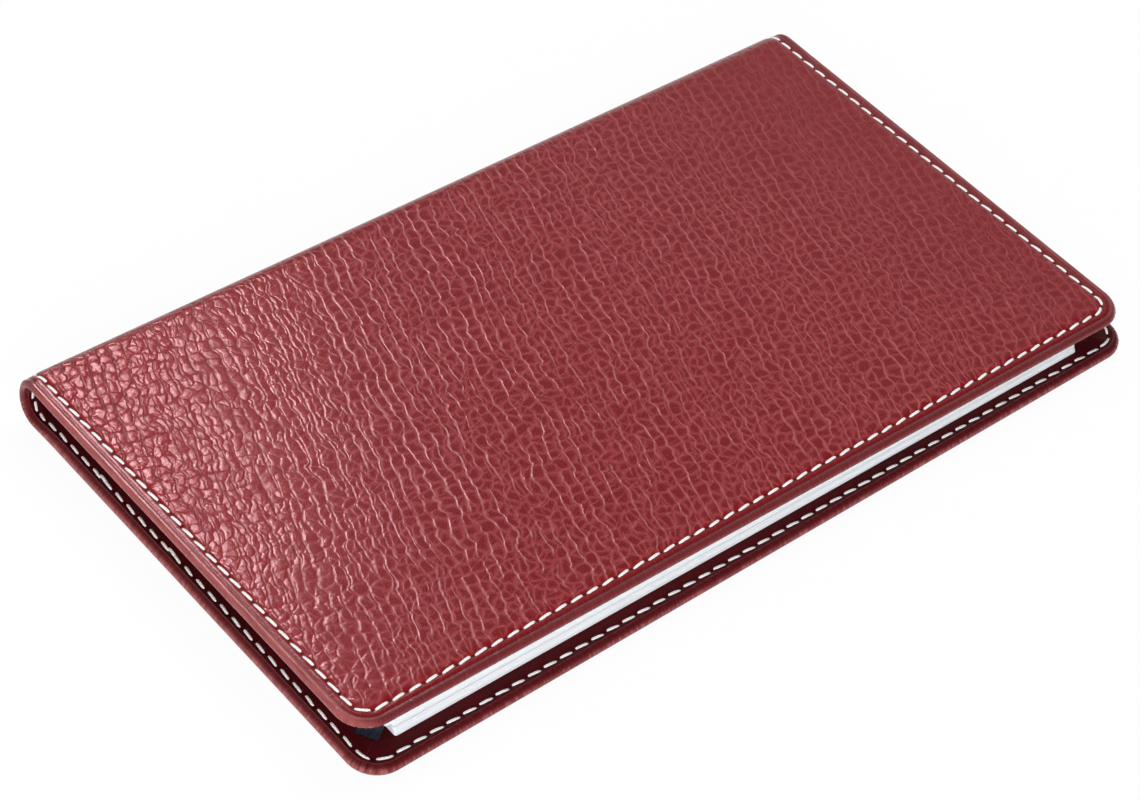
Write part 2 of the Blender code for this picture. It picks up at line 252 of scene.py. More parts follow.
class Finish:
    """One material while it is put together."""

    HOLE_REACH = 0.36 * MM
    HOLE_RADII = (0.10, 0.30)

    def __init__(self, name):
        self.material = bpy.data.materials.new(name)
        self.material.use_nodes = True
        self.tree = self.material.node_tree
        self.shader = self.tree.nodes["Principled BSDF"]

    def plug(self, socket, value):
        """Link a wire to a socket, or set the socket's own value."""
        if isinstance(value, Wire):
            self.tree.links.new(value.socket, socket)
        else:
            socket.default_value = value

    def node(self, kind, settings=None, inputs=None, output=0):
        """Add a node, feed its sockets and give one of its outputs."""
        made = self.tree.nodes.new(kind)
        for key, value in (settings or {}).items():
            setattr(made, key, value)
        for key, value in (inputs or {}).items():
            self.plug(made.inputs[key], value)
        return Wire(self, made.outputs[output])

    def feed(self, **inputs):
        """Feed sockets of the material's own shader, named with underscores, and give the material."""
        for key, value in inputs.items():
            self.plug(self.shader.inputs[key.replace("_", " ")], value)
        return self.material

    def place(self, uv_map=None):
        """Millimetres on the piece's own UV map, or in the object's space."""
        if uv_map:
            return self.scaled(self.node("ShaderNodeUVMap", {"uv_map": uv_map}), (1 / MM / UV_SCALE,) * 3)
        return self.scaled(self.node("ShaderNodeTexCoord", output="Object"), (1 / MM,) * 3)

    def vector_math(self, operation, first, second, output=0):
        return self.node("ShaderNodeVectorMath", {"operation": operation}, {0: first, 1: second}, output)

    def scaled(self, vector, factors):
        return self.vector_math("MULTIPLY", vector, factors)

    def turned(self, vector, angle, factors):
        """A vector turned in its plane and then stretched."""
        mapped = self.node("ShaderNodeMapping", {}, {"Vector": vector, "Rotation": (0, 0, angle)})
        return self.scaled(mapped, factors)

    def warped(self, vector, scale, reach):
        """A vector pushed about by soft noise."""
        push = self.vector_math("SUBTRACT", self.noise(vector, scale, output="Color"), (0.5, 0.5, 0.5))
        return self.vector_math("ADD", vector, self.scaled(push, (reach,) * 3))

    def noise(self, vector, scale, detail=2.0, rough=0.5, output=0):
        inputs = {"Vector": vector, "Scale": scale, "Detail": detail, "Roughness": rough}
        return self.node("ShaderNodeTexNoise", {}, inputs, output)

    def cells(self, vector, scale, unrest=1.0, feature="DISTANCE_TO_EDGE"):
        """Distance to the edge of irregular cells, or to their middles."""
        return self.node(
            "ShaderNodeTexVoronoi", {"voronoi_dimensions": "2D", "feature": feature},
            {"Vector": vector, "Scale": scale, "Randomness": unrest}, "Distance")

    def domes(self, vector, scale, unrest=1.0):
        """Round lumps, one on each cell."""
        return 1 - self.cells(vector, scale, unrest, "F1") ** 2 * 2

    def along(self, vector, way):
        """How far a vector reaches along a way."""
        return self.vector_math("DOT_PRODUCT", vector, way, "Value")

    def zigzag(self, value, half):
        """Distance from a value to the nearest of marks that lie two halves apart."""
        return self.node("ShaderNodeMath", {"operation": "PINGPONG"}, {0: value, 1: half})

    def attribute(self, name):
        return self.node("ShaderNodeAttribute", {"attribute_name": name}, output="Fac")

    def step(self, value, low, high):
        """Soft step from 0 to 1 as a value goes from low to high."""
        return self.node(
            "ShaderNodeMapRange", {"interpolation_type": "SMOOTHSTEP"},
            {"Value": value, "From Min": low, "From Max": high})

    def mix(self, factor, first, second):
        return self.node("ShaderNodeMix", {"data_type": "RGBA"}, {0: factor, 6: first, 7: second}, 2)

    def band(self, value, low, middle, high):
        """Soft hump from 0 over 1 to 0 between low and high."""
        return self.step(value, low, middle) * (1 - self.step(value, middle, high))

    def needle_holes(self, inset, pitch):
        """Mask of the needle holes along a seam."""
        gap = self.zigzag(self.along(self.place("rim"), (1, 0, 0)), pitch / MM / 2)
        across = self.band(self.attribute("edge"), inset - self.HOLE_REACH, inset, inset + self.HOLE_REACH)
        return (1 - self.step(gap, *self.HOLE_RADII)) * across

    def bump(self, height, depth, strength=1.0):
        return self.node("ShaderNodeBump", {}, {"Height": height, "Distance": depth, "Strength": strength})


def grain(finish, case):
    """Height, colour and roughness of the leather's grain, by millimetres on the flat hide."""
    step, along, mix = finish.step, finish.along, finish.mix
    lie, crease_gap, hair_gap = math.radians(17), 1.1, 1.15
    pebble = {"scale": 0.5, "unrest": 0.75}
    flat = finish.place("hide")
    bent = finish.warped(finish.warped(flat, 0.08, 3.0), 0.5, 0.6)
    rows = finish.turned(finish.warped(bent, 0.3, 2.4), lie, (0.85, 1.0, 1.0))
    lanes = finish.zigzag(along(rows, (0, 1, 0)), crease_gap)
    weft = finish.zigzag(along(rows, (0.85, 0.5, 0)), hair_gap)
    strong = step(finish.noise(finish.turned(flat, lie, (0.25, 1.0, 1.0)), 0.5), 0.32, 0.56)
    crease = 1 - (1 - step(lanes, 0.0, 0.36)) * strong
    pebbles = finish.cells(rows, **pebble)
    plump = step(pebbles, 0.0, 0.16)
    pores = finish.noise(flat, 4.5, 2.0, 0.6)
    coarse = 1 - step(along(flat, (0.6, 1, 0)), -80, -6)
    calm = step(along(flat, (-0.3, 1, 0)), 10, 85)
    # Each layer has a height everywhere, and one added where the grain is coarse
    layers = (
        (finish.domes(rows, **pebble), 0.02, 0.12), (crease, 0.05, 0.09), (plump, 0.015, 0.035),
        (finish.domes(bent, 1.1), 0.006, 0.028), (pores, 0.016, 0.02))
    height = sum(layer * (fine + coarse * added) for layer, fine, added in layers)
    mottle = finish.noise(flat, 0.05, 3.0, 0.6)
    # Painted highlight: cell edges and creases are painted paler, towards the crease colour, for the glint on
    # their walls
    middle = step(pebbles, 0.0, 0.32) * (0.5 + crease * 0.5)
    shade = middle * (1.15 - calm * 0.75) + calm * 0.5 + (mottle - 0.5) * 0.3 + (pores - 0.5) * 0.5
    # Painted highlight: thin pale lines along the long creases, the weft and the cell edges stand for glints
    # on the crease walls
    glint_lines = (1 - step(lanes, 0.02, 0.18)) * strong * 0.75
    glint_lines = glint_lines + (1 - step(weft, 0.02, 0.2)) * (1 - strong * 0.7) * 0.4
    glint_lines = (glint_lines + (1 - step(pebbles, 0.0, 0.1)) * 0.14) * (1 - calm * 0.7)
    fine = mix(glint_lines, mix(shade, case.crease_glint_color, case.leather_color), case.wear_and_glint_color)
    # Painted light and shade where the grain is coarse: pebble tops painted brighter, crevices painted darker
    lit_tops = crease * 0.6 + plump * 0.4
    lit_tops_and_shaded_crevices = mix(lit_tops, toned(case.leather_color, 0.55), toned(case.leather_color, 1.65))
    color = mix(coarse * 0.8, fine, lit_tops_and_shaded_crevices)
    return height, color, 0.27 + (1 - crease) * 0.08 + (pores - 0.5) * 0.16


def rim_tone(finish, case, inner, pleats, wrinkle, shadow):
    """Colour of the turned edge: pale from wear and painted light, flecked on its pleats, with painted shade
    in the tucks at the corners.
    """
    step, mix = finish.step, finish.mix
    lit_and_touched = finish.attribute("worn")
    # Wear and painted light: the edge is painted paler where it is lit and where it wears, over its wrinkles
    # and pleats
    rubbed_and_lit = wrinkle * (1 - inner) + pleats * inner
    worn = lit_and_touched * (0.35 + step(rubbed_and_lit, 0.25, 0.75) * 0.65)
    bead = mix(worn * (1 - inner * 0.35), case.rim_color, case.wear_and_glint_color)
    fleck = step(pleats, 0.49, 0.60) * finish.band(inner, 0.3, 0.62, 0.95)
    bead = mix(fleck * (0.45 + lit_and_touched * 0.4), bead, case.wear_and_glint_color)
    # Painted shade in the tucks of the gathered corners
    tucks = (1 - step(pleats, 0.38, 0.46)) * step(finish.attribute("gather"), 0.2, 0.8)
    bead = mix(tucks * inner * 0.7, bead, shadow)
    return mix(step(inner, 0.72, 0.97) * 0.75, bead, case.lining_color)


def grained_leather(case):
    """Pebbled leather with long creases, smooth and pleated where it is turned over the edge."""
    finish = Finish("grained_leather")
    body, top, rough = grain(finish, case)
    seam, reach = case.seam_inset, case.rim_reach
    edge, inner = finish.attribute("edge"), finish.attribute("inner")
    outer = 1 - finish.step(inner, 0.02, 0.2)
    grained = finish.step(edge, seam, seam + 0.7 * MM) * outer
    rim = finish.place("rim")
    pleats = finish.noise(finish.scaled(rim, (2.4, 0.25, 1.0)), 1.0, 3.0, 0.6)
    wrinkle = finish.noise(finish.scaled(rim, (0.15, 1.4, 1.0)), 1.0, 3.0, 0.6)
    holes = finish.needle_holes(seam, case.stitch_pitch) * outer
    height = body * grained + (pleats * 0.06 + wrinkle * 0.04) * (1 - grained) - holes * 0.2
    shadow = toned(case.leather_color, 0.2)
    bead = rim_tone(finish, case, inner, pleats, wrinkle, shadow)
    turned = finish.mix(finish.step(edge, reach, reach + 0.3 * MM), bead, case.leather_color)
    # Painted shade along the crease between the flat strip and the rounded edge
    dark = finish.band(edge, reach, reach + 0.2 * MM, reach + 0.5 * MM) * outer
    skin = finish.mix(grained, finish.mix(dark * 0.45, turned, shadow), top)
    return finish.feed(
        Base_Color=finish.mix(holes * 0.65, skin, shadow),
        Roughness=rough,
        Normal=finish.bump(height, MM),
        Specular_IOR_Level=0.38,
        Specular_Tint=(1.0, 0.68, 0.72, 1))


def smooth_leather(case):
    """Smooth lining leather with a fine grain and hairline wrinkles."""
    finish = Finish("lining")
    flat = finish.place()
    fine = finish.noise(flat, 3.0, 3.0, 0.6)
    drift = finish.noise(flat, 0.06, 2.0)
    bent = finish.warped(finish.scaled(flat, (1, 1, 0)), 0.2, 3.0)
    hair = finish.step(finish.cells(bent, 0.14), 0.0, 0.012)
    seam = case.inner_seam_inset
    holes = finish.needle_holes(seam, case.stitch_pitch)
    rays = finish.noise(finish.scaled(finish.place("rim"), (3.2, 0.12, 1.0)), 1.0, 2.0, 0.6)
    drawn = finish.step(rays, 0.56, 0.68) * finish.step(finish.attribute("gather"), 0.3, 0.9)
    drawn = drawn * finish.band(finish.attribute("edge"), seam - 0.2 * MM, seam + 0.8 * MM, seam + 4 * MM)
    sheet = finish.mix(finish.step(drift, 0.3, 0.7), toned(case.lining_color, 0.65), case.lining_color)
    sheet = finish.mix(drawn * 0.5, sheet, case.wear_and_glint_color)
    # Painted shade in the needle holes, near black
    return finish.feed(
        Base_Color=finish.mix(holes * 0.9, sheet, (0.008, 0.001, 0.001, 1)),
        Roughness=0.45 + (fine - 0.5) * 0.2,
        Normal=finish.bump(fine * 0.4 + hair * 0.6 + drawn - holes, 0.1 * MM, 0.5),
        Specular_IOR_Level=0.22,
        Specular_Tint=(1.0, 0.5, 0.5, 1))


def seam_thread(case):
    """Waxed linen thread with the twist of its plies."""
    finish = Finish("seam_thread")
    twist = finish.attribute("twist")
    plies = finish.node("ShaderNodeMath", {"operation": "SINE"}, {0: twist * (2 * math.pi)})
    fuzz = finish.noise(finish.place(), 6.0, 2.0)
    # Painted shade in the grooves between the plies: a darker tone of the thread colour
    groove = toned(case.thread_color, 0.86)
    return finish.feed(
        Base_Color=finish.mix(finish.step(plies, -1.0, -0.2), groove, case.thread_color),
        Roughness=0.6 + (fuzz - 0.5) * 0.2,
        Normal=finish.bump(plies * 0.3 + fuzz * 0.4, 0.12 * MM, 0.6))


def ruled_paper(insert):
    """Bluish white paper with faint ruled lines and a soft edge grain."""
    finish = Finish("paper")
    flat = finish.place()
    gap = finish.zigzag(finish.along(flat, (0, 1, 0)), insert.rule_pitch / MM / 2)
    line = 1 - finish.step(gap, 0.05, 0.11)
    across = finish.along(flat, (1, 0, 0))
    bare, soft = 6, 0.2
    low, high = (corner.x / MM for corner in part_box(SECTIONS[0]))
    margin = finish.step(across, low + bare, low + bare + soft)
    margin = margin * (1 - finish.step(across, high - bare - soft, high - bare))
    fibre = finish.noise(flat, 1.5, 3.0, 0.6)
    layers = finish.noise(finish.scaled(flat, (0.02, 0.02, 3.5)), 1.0, 2.0)
    sheet = finish.mix(finish.step(layers, 0.35, 0.65), toned(insert.paper_color, 0.93), insert.paper_color)
    return finish.feed(
        Base_Color=finish.mix(line * margin * 0.6, sheet, insert.rule_color),
        Roughness=0.75 + (fibre - 0.5) * 0.1,
        Normal=finish.bump(fibre, 0.03 * MM, 0.4))


def fibrous(name, color, scale, depth, rough):
    """Card or greyboard: a matt sheet with fibres."""
    finish = Finish(name)
    fibre = finish.noise(finish.scaled(finish.place(), (1.0, 0.3, 1.0)), scale, 4.0, 0.65)
    return finish.feed(
        Base_Color=finish.mix(finish.step(fibre, 0.3, 0.7), toned(color, 0.8), color),
        Roughness=rough + (fibre - 0.5) * 0.15,
        Normal=finish.bump(fibre, depth, 0.5))


def ribbon_weave(insert):
    """Woven satin ribbon with fine lengthwise threads."""
    finish = Finish("ribbon")
    flat = finish.place()
    low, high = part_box("ribbon_marker")
    run = math.atan2(high.y - low.y, low.x - high.x)
    lengthwise = finish.noise(finish.turned(flat, -run, (0.25, 6.0, 1.0)), 1.0, 2.0)
    weft = finish.noise(finish.turned(flat, -run, (5.0, 1.0, 1.0)), 1.0, 1.0)
    # Painted highlight: pale streaks along the lengthwise threads stand for the satin's glints
    pale = toned(insert.ribbon_color, 8)
    return finish.feed(
        Base_Color=finish.mix(finish.step(lengthwise, 0.52, 0.8), insert.ribbon_color, pale),
        Roughness=0.38 + (weft - 0.5) * 0.2,
        Normal=finish.bump(lengthwise * 0.6 + weft * 0.4, 0.08 * MM, 0.6))


def drawn_steel(insert):
    """Drawn steel wire with faint draw marks."""
    finish = Finish("staple")
    marks = finish.noise(finish.scaled(finish.place(), (9.0, 0.6, 9.0)), 1.0, 2.0)
    return finish.feed(
        Base_Color=finish.mix(marks, toned(insert.steel_color, 0.75), insert.steel_color),
        Metallic=1.0,
        Roughness=0.3 + (marks - 0.5) * 0.2,
        Normal=finish.bump(marks, 0.02 * MM, 0.4))


def eased(place, case, insert=False):
    """A point of the closed case, with the front cover standing a little up at the foot.

    The insert follows the cover, but at the foot its spine side stays down in the fold.
    """
    share = clamp((place.z - BACK_THICK) / STACK)
    if insert and place.y < 0:
        share *= clamp((place.x - SPINE_X) / (FRONT_HIGH.x - SPINE_X))
    return Vector((place.x, place.y, place.z - case.lift * share * place.y / HALF_LENGTH))


def link(name, data):
    """Put a new object in the scene, at the origin."""
    made = bpy.data.objects.new(name, data)
    bpy.context.scene.collection.objects.link(made)
    return made


def settle(bm, name, finishes, sharp=40):
    """Make a finished mesh object of a bmesh, at the origin."""
    mesh = bpy.data.meshes.new(name)
    bm.to_mesh(mesh)
    bm.free()
    for finish in finishes:
        mesh.materials.append(finish)
    mesh.shade_smooth()
    mesh.set_sharp_from_angle(angle=math.radians(sharp))
    return link(name, mesh)


def copied(node):
    """A bmesh copy of a CAD node."""
    bm = bmesh.new()
    bm.from_mesh(frame["nodes"][node].data)
    bmesh.ops.remove_doubles(bm, verts=bm.verts, dist=MERGE)
    return bm


def block(bm, middle, size, turn=0.0):
    """Add a box to a bmesh, turned about the upright, and give its vertices."""
    place = Matrix.Translation(middle) @ Matrix.Rotation(turn, 4, "Z") @ Matrix.Diagonal((*size, 1))
    return bmesh.ops.create_cube(bm, size=1, matrix=place)["verts"]


def eased_copy(node, name, finish, case, slot, bm=None):
    """A copy of a CAD node, or a mesh for it, that lies as the worn case lies and stands for the node."""
    bm = bm or copied(node)
    for vert in bm.verts:
        vert.co = eased(vert.co, case, slot in INSERT_SLOTS)
    piece = settle(bm, name, [finish], 30)
    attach(piece, BODY_OF[node])
    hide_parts(node)


def dress(node, finish):
    """Give a CAD node that stays in view its finished material."""
    mesh = frame["nodes"][node].data
    mesh.materials.clear()
    mesh.materials.append(finish)


class Hide:
    """The case's leather as a flat sheet, with its turned edge and its fold round the leaves."""

    CORNER_HOLES = ((-1, -1, 0.0), (-1, 1, 0.0), (1, 1, 0.0), (1, -1, 0.5))
    CORNER_STEPS = 40
    SIDE_STEP = 0.8 * MM
    RIM_STEPS = 12
    MARKS = ("run", "edge", "inner", "rise", "across", "worn", "gather")
    GROOVE = 0.30 * MM
    INNER_GROOVE = 0.20 * MM
    RIM_DROP = 0.26 * MM
    INNER_RIM_DROP = 0.16 * MM
    BEAD = 0.12 * MM
    BEAD_TURN, BEAD_SPREAD = 0.55, 0.35
    UNDER_FLANGE = 0.5 * MM
    WALL = 1.3 * MM
    WINDOW_RADIUS = 0.8 * MM
    THIN_REACH = 6 * MM
    THIN_CUTS, STRIP_CUTS = 4, 4
    PULL, PULL_REACH = 0.07 * MM, 0.5 * MM
    PLEAT, PLEAT_REACH = 0.08 * MM, 1.4 * MM
    PLEAT_WAVES = ((1.0, 38, 0.0), (0.6, 61, 1.3))
    SEWN_BACK = (-24.5 * MM, -3 * MM)
    SLANT, STITCH_LENGTH = (0.10, 0.20), (0.95, 1.04)
    STITCH_RISE, STITCH_SINK, STITCH_HEIGHT = 0.16 * MM, 0.10 * MM, 0.22 * MM
    TWISTS = 2.2
    # Rows of the hide's section, in millimetres: how far in from a line, and how deep or how high
    SEAM_ROWS = (
        (2.4, 0), (1.6, 0), (1.0, 0.03), (0.5, 0.14), (0.2, 0.26), (0, GROOVE / MM), (-0.3, 0.24),
        (-0.7, 0.18), (-1.05, 0.22))
    LIP_ROWS = ((0.3, 0.32), (0.12, 0.33))
    INNER_LIP_ROWS = ((0.08, 0.03), (0.3, 0.01))
    INNER_SEAM_ROWS = ((-0.3, 0.12), (0, INNER_GROOVE / MM), (0.35, 0.10), (0.9, 0))
    FLANGE_ROWS = ((-0.5, 0), (-0.2, 0.03), (0, 0.15), (0, UNDER_FLANGE / MM))

    def __init__(self, case):
        self.case = case
        self.half = Vector((HALF_ARC + (BACK_HIGH.x + FRONT_HIGH.x) / 2 - SPINE_X, HALF_LENGTH))
        self.shift = (FRONT_HIGH.x - BACK_HIGH.x) / 2
        flat = self.outline()
        self.base = [loop.vert.co.xy for loop in flat.faces[0].loops]
        flat.free()
        ring = [self.inset(point, case.seam_inset) for point in self.base]
        walk = [0.0]
        for first, second in zip(ring, ring[1:] + ring[:1]):
            walk.append(walk[-1] + (second - first).length)
        self.pitch = case.stitch_pitch
        self.runs = self.spaced(walk)
        self.length = self.runs[-1] - self.runs[0]
        self.stitches = round(self.length / self.pitch)

    def outline(self):
        """Rectangle with round corners, as one face with fine edges."""
        bm = bmesh.new()
        bmesh.ops.create_grid(bm, x_segments=1, y_segments=1, size=0.5)
        bmesh.ops.scale(bm, vec=(2 * self.half.x, 2 * self.half.y, 1), verts=bm.verts)
        bmesh.ops.bevel(
            bm, geom=bm.verts[:], offset=self.case.corner_radius, segments=self.CORNER_STEPS, profile=0.5,
            affect="VERTICES", material=-1)
        for side in [edge for edge in bm.edges if edge.calc_length() > self.case.corner_radius]:
            bmesh.ops.subdivide_edges(bm, edges=[side], cuts=round(side.calc_length() / self.SIDE_STEP) - 1)
        bm.faces.ensure_lookup_table()
        return bm

    def spaced(self, walk):
        """Runs along the seam, eased so that a hole or the middle of a stitch falls on each corner."""
        marks = []
        for side, end, middle in self.CORNER_HOLES:
            tip = max(range(len(self.base)), key=lambda i: side * self.base[i].x + end * self.base[i].y)
            marks.append((walk[tip], middle))
        marks.sort()
        marks.append((marks[0][0] + walk[-1], marks[0][1]))
        known = [marks[0]]
        for (before, phase), (after, next_phase) in zip(marks, marks[1:]):
            shift = next_phase - phase
            count = round((after - before) / self.pitch - shift) + shift
            known.append((after, known[-1][1] + count))
        total = known[-1][1] - known[0][1]
        known.insert(0, (known[-2][0] - walk[-1], known[-2][1] - total))
        runs = []
        for place in walk:
            first, second = next(pair for pair in zip(known, known[1:]) if pair[1][0] >= place)
            share = (place - first[0]) / (second[0] - first[0])
            runs.append((first[1] + share * (second[1] - first[1])) * self.pitch)
        return runs

    def corner(self, point):
        """Centre of the round corner nearest to an outline point, and the way out from it."""
        reach = self.half - Vector((self.case.corner_radius,) * 2)
        centre = Vector((clamp(point.x, -reach.x, reach.x), clamp(point.y, -reach.y, reach.y)))
        return reach, centre, (point - centre).normalized()

    def inset(self, point, edge):
        """An outline point moved in from the edge; the corners tighten to the window's radius."""
        reach, centre, out = self.corner(point)
        radius = max(self.case.corner_radius - edge, self.WINDOW_RADIUS)
        inner = self.half - Vector((edge + radius,) * 2)
        return Vector((centre.x * inner.x / reach.x, centre.y * inner.y / reach.y)) + out * radius

    def thickness(self, u):
        """Thickness of the case at a place across the flat hide."""
        share = clamp((abs(u) - HALF_ARC) / self.THIN_REACH)
        share = share * share * (3 - 2 * share)
        return SPINE_THICK + share * ((FRONT_THICK if u > 0 else BACK_THICK) - SPINE_THICK)

    def fold(self, u, v, depth):
        """Where a point of the flat hide lies in the closed case, at a depth below the outer face."""
        turn = clamp(u, -HALF_ARC, HALF_ARC) / BEND
        beyond = max(0.0, abs(u) - HALF_ARC)
        reach = BEND - depth
        place = Vector((SPINE_X + beyond - reach * math.cos(turn), v, BEND + reach * math.sin(turn)))
        if u < 0:
            place.x += self.case.skew * beyond / (BACK_HIGH.x - SPINE_X) * (1 - v / HALF_LENGTH) / 2
        return eased(place, self.case)

    def rows(self):
        """The hide's section from the middle of its outside, over the edge, to the bed of the tray.

        Each row is a distance from the edge, a share of the thickness and a depth added to it.
        """
        case, reach = self.case, self.case.rim_reach
        rows = [(case.seam_inset + far * MM, 0, deep * MM) for far, deep in self.SEAM_ROWS]
        rows += [(reach + far * MM, 0, deep * MM) for far, deep in self.LIP_ROWS]
        for step in range(self.RIM_STEPS + 1):
            turn = math.pi * step / self.RIM_STEPS
            share = (1 - math.cos(turn)) / 2
            drop = self.RIM_DROP * (1 - share) - self.INNER_RIM_DROP * share
            drop -= self.BEAD * math.exp(-((turn - self.BEAD_TURN) / self.BEAD_SPREAD) ** 2)
            rows.append((reach * (1 - math.sin(turn)), share, drop))
        tables = (self.INNER_LIP_ROWS, self.INNER_SEAM_ROWS, self.FLANGE_ROWS)
        for line, table in zip((reach, case.inner_seam_inset, case.turn_in), tables):
            rows += [(line + far * MM, 1, -high * MM) for far, high in table]
        rows += [(self.WALL, 1, -self.UNDER_FLANGE), (self.WALL, 0, case.skin)]
        return rows

    def sheet(self):
        """The whole hide, still flat, with its section kept on its vertices."""
        bm = self.outline()
        bm.verts.layers.float_vector.new("base")
        for name in self.MARKS:
            bm.verts.layers.float.new(name)
        base = bm.verts.layers.float_vector["base"]
        run, edge, inner, rise, across, worn, gather = (
            bm.verts.layers.float[name] for name in self.MARKS)
        bm.faces.ensure_lookup_table()
        ring = [loop.vert for loop in bm.faces[0].loops]
        for vert, along in zip(ring, self.runs):
            vert[base] = vert.co
            vert[run] = along
        border = bm.edges[:]
        rows = self.rows()
        walked = 0.0
        for index, row in enumerate(rows):
            if index:
                grown = bmesh.ops.extrude_edge_only(bm, edges=border)["geom"]
                ring = [part for part in grown if isinstance(part, bmesh.types.BMVert)]
                fresh = set(ring)
                border = [
                    part for part in grown
                    if isinstance(part, bmesh.types.BMEdge) and fresh.issuperset(part.verts)]
                before = rows[index - 1]
                walked += math.hypot(
                    row[0] - before[0], (row[1] - before[1]) * FRONT_THICK + row[2] - before[2])
            for vert in ring:
                place = self.inset(vert[base].xy, row[0])
                vert.co = (place.x + self.shift, place.y, -row[1] * FRONT_THICK - row[2])
                vert[edge], vert[inner], vert[rise], vert[across] = row[0], row[1], row[2], walked
                out = self.corner(vert[base].xy)[2]
                vert[gather] = 2 * abs(out.x * out.y)
                # Wear and painted light: the edge is painted paler where it is lit, most at the foot, and
                # kept darker by the spine as painted shade
                vert[worn] = self.rubbed_and_lit(out, vert.co.x)
        bmesh.ops.edgeloop_fill(bm, edges=border)
        return bm

    def rubbed_and_lit(self, out, u):
        """How pale the edge is, from wear and painted light: most at the foot, where it is lit, less at the
        head, least by the spine, where painted shade keeps it dark.
        """
        beyond = clamp((abs(u) / HALF_ARC - 0.5) / 1.2)
        return max(-out.y, 0.6 * out.y, 0.12) * (0.25 + 0.75 * beyond)

    def crossed(self, bm, u, side=1, **clear):
        """Cut a flat sheet across at one place."""
        return bmesh.ops.bisect_plane(
            bm, geom=bm.verts[:] + bm.edges[:] + bm.faces[:], dist=MERGE / 2, plane_co=(u, 0, 0),
            plane_no=(side, 0, 0), **clear)

    def cut(self, bm):
        """Cut a flat sheet across wherever it has to bend."""
        count = STRIPS * self.STRIP_CUTS
        arc = [-HALF_ARC + 2 * HALF_ARC * step / count for step in range(count + 1)]
        thin = [HALF_ARC + self.THIN_REACH * (step + 1) / self.THIN_CUTS for step in range(self.THIN_CUTS)]
        for u in [-reach for reach in thin] + arc + thin:
            self.crossed(bm, u)

    def slice(self, sheet, low, high):
        """The part of a flat sheet between two places across it, closed where it was cut."""
        bm = sheet.copy()
        for u, side in ((low, -1), (high, 1)):
            if math.isinf(u):
                continue
            made = self.crossed(bm, u, side, clear_outer=True)
            rim = [part for part in made["geom_cut"] if isinstance(part, bmesh.types.BMEdge)]
            bmesh.ops.edgeloop_fill(bm, edges=rim)
        return bm

    def pucker(self, vert, layers):
        """Depth that the thread pulls the leather in by, most at the needle holes."""
        edge, inner, run = (vert[layers[name]] for name in ("edge", "inner", "run"))
        seam = self.case.seam_inset if inner < 0.5 else self.case.inner_seam_inset
        near = math.exp(-((edge - seam) / self.PULL_REACH) ** 2)
        pull = self.PULL * near * math.cos(2 * math.pi * run / self.pitch)
        return pull if inner < 0.5 else -pull

    def pleat(self, vert, layers):
        """How far the gathers at a corner stand out from the turned edge."""
        out = self.corner(vert[layers["base"]].xy)[2]
        angle = math.atan2(out.y, out.x)
        near = math.exp(-(vert[layers["edge"]] / self.PLEAT_REACH) ** 2) * vert[layers["inner"]]
        ripple = sum(size * math.sin(angle * count + start) for size, count, start in self.PLEAT_WAVES)
        return out * (self.PLEAT * vert[layers["gather"]] * near * ripple)

    def bend(self, bm):
        """Fold a flat piece of the hide into its place in the case."""
        layers = {name: bm.verts.layers.float[name] for name in self.MARKS}
        layers["base"] = bm.verts.layers.float_vector["base"]
        for name in ("hide", "rim"):
            bm.loops.layers.uv.new(name)
        hide_map, rim_map = bm.loops.layers.uv["hide"], bm.loops.layers.uv["rim"]
        lining_edge = self.case.rim_reach + 0.05 * MM
        for face in bm.faces:
            runs = [loop.vert[layers["run"]] for loop in face.loops]
            for loop, along in zip(face.loops, runs):
                if max(runs) - along > self.length / 2:
                    along += self.length
                loop[hide_map].uv = loop.vert.co.xy * UV_SCALE
                loop[rim_map].uv = (along * UV_SCALE, loop.vert[layers["across"]] * UV_SCALE)
            inside = all(
                vert[layers["inner"]] > 0.99 and vert[layers["edge"]] > lining_edge for vert in face.verts)
            face.material_index = 1 if inside else 0
        for vert in bm.verts:
            u = vert.co.x
            gather = self.pleat(vert, layers)
            depth = vert[layers["inner"]] * self.thickness(u) + vert[layers["rise"]]
            depth += self.pucker(vert, layers)
            vert.co = self.fold(u + gather.x, vert.co.y + gather.y, depth)
        bm.verts.layers.float_vector.remove(layers["base"])
        bmesh.ops.recalc_face_normals(bm, faces=bm.faces)
        return bm

    def on_seam(self, run, edge):
        """A place on the flat hide, at a run along the seam and a distance from the edge."""
        run = (run - self.runs[0]) % self.length + self.runs[0]
        index = bisect_right(self.runs, run) - 1
        share = (run - self.runs[index]) / (self.runs[index + 1] - self.runs[index])
        after = self.base[(index + 1) % len(self.base)]
        return self.inset(self.base[index].lerp(after, share), edge) + Vector((self.shift, 0))

    def stitch(self, bm, hole, inner, rng, aside=0.0):
        """One stitch of the seam, from a needle hole to the next."""
        case = self.case
        inset = (case.inner_seam_inset if inner else case.seam_inset) + aside
        slant = rng.uniform(*self.SLANT) * MM
        length = case.stitch_share * rng.uniform(*self.STITCH_LENGTH)
        twist = bm.verts.layers.float["twist"]
        start = rng.random()
        for vert in bmesh.ops.create_uvsphere(bm, u_segments=8, v_segments=7, radius=1)["verts"]:
            side, up, along = vert.co
            plump = math.sqrt(1 + along ** 2 + along ** 4 + along ** 6)
            vert[twist] = start + along * self.TWISTS + math.atan2(side, -up) / (2 * math.pi)
            edge = inset + slant * along + side * plump * case.thread_width / 2
            rise = self.STITCH_RISE * (1 - along * along) - self.STITCH_SINK + up * plump * self.STITCH_HEIGHT
            place = self.on_seam((hole + 0.5 + 0.5 * length * along) * self.pitch, edge)
            groove = self.INNER_GROOVE if inner else self.GROOVE
            depth = self.thickness(place.x) - groove + rise if inner else groove - rise
            vert.co = self.fold(place.x, place.y, depth)

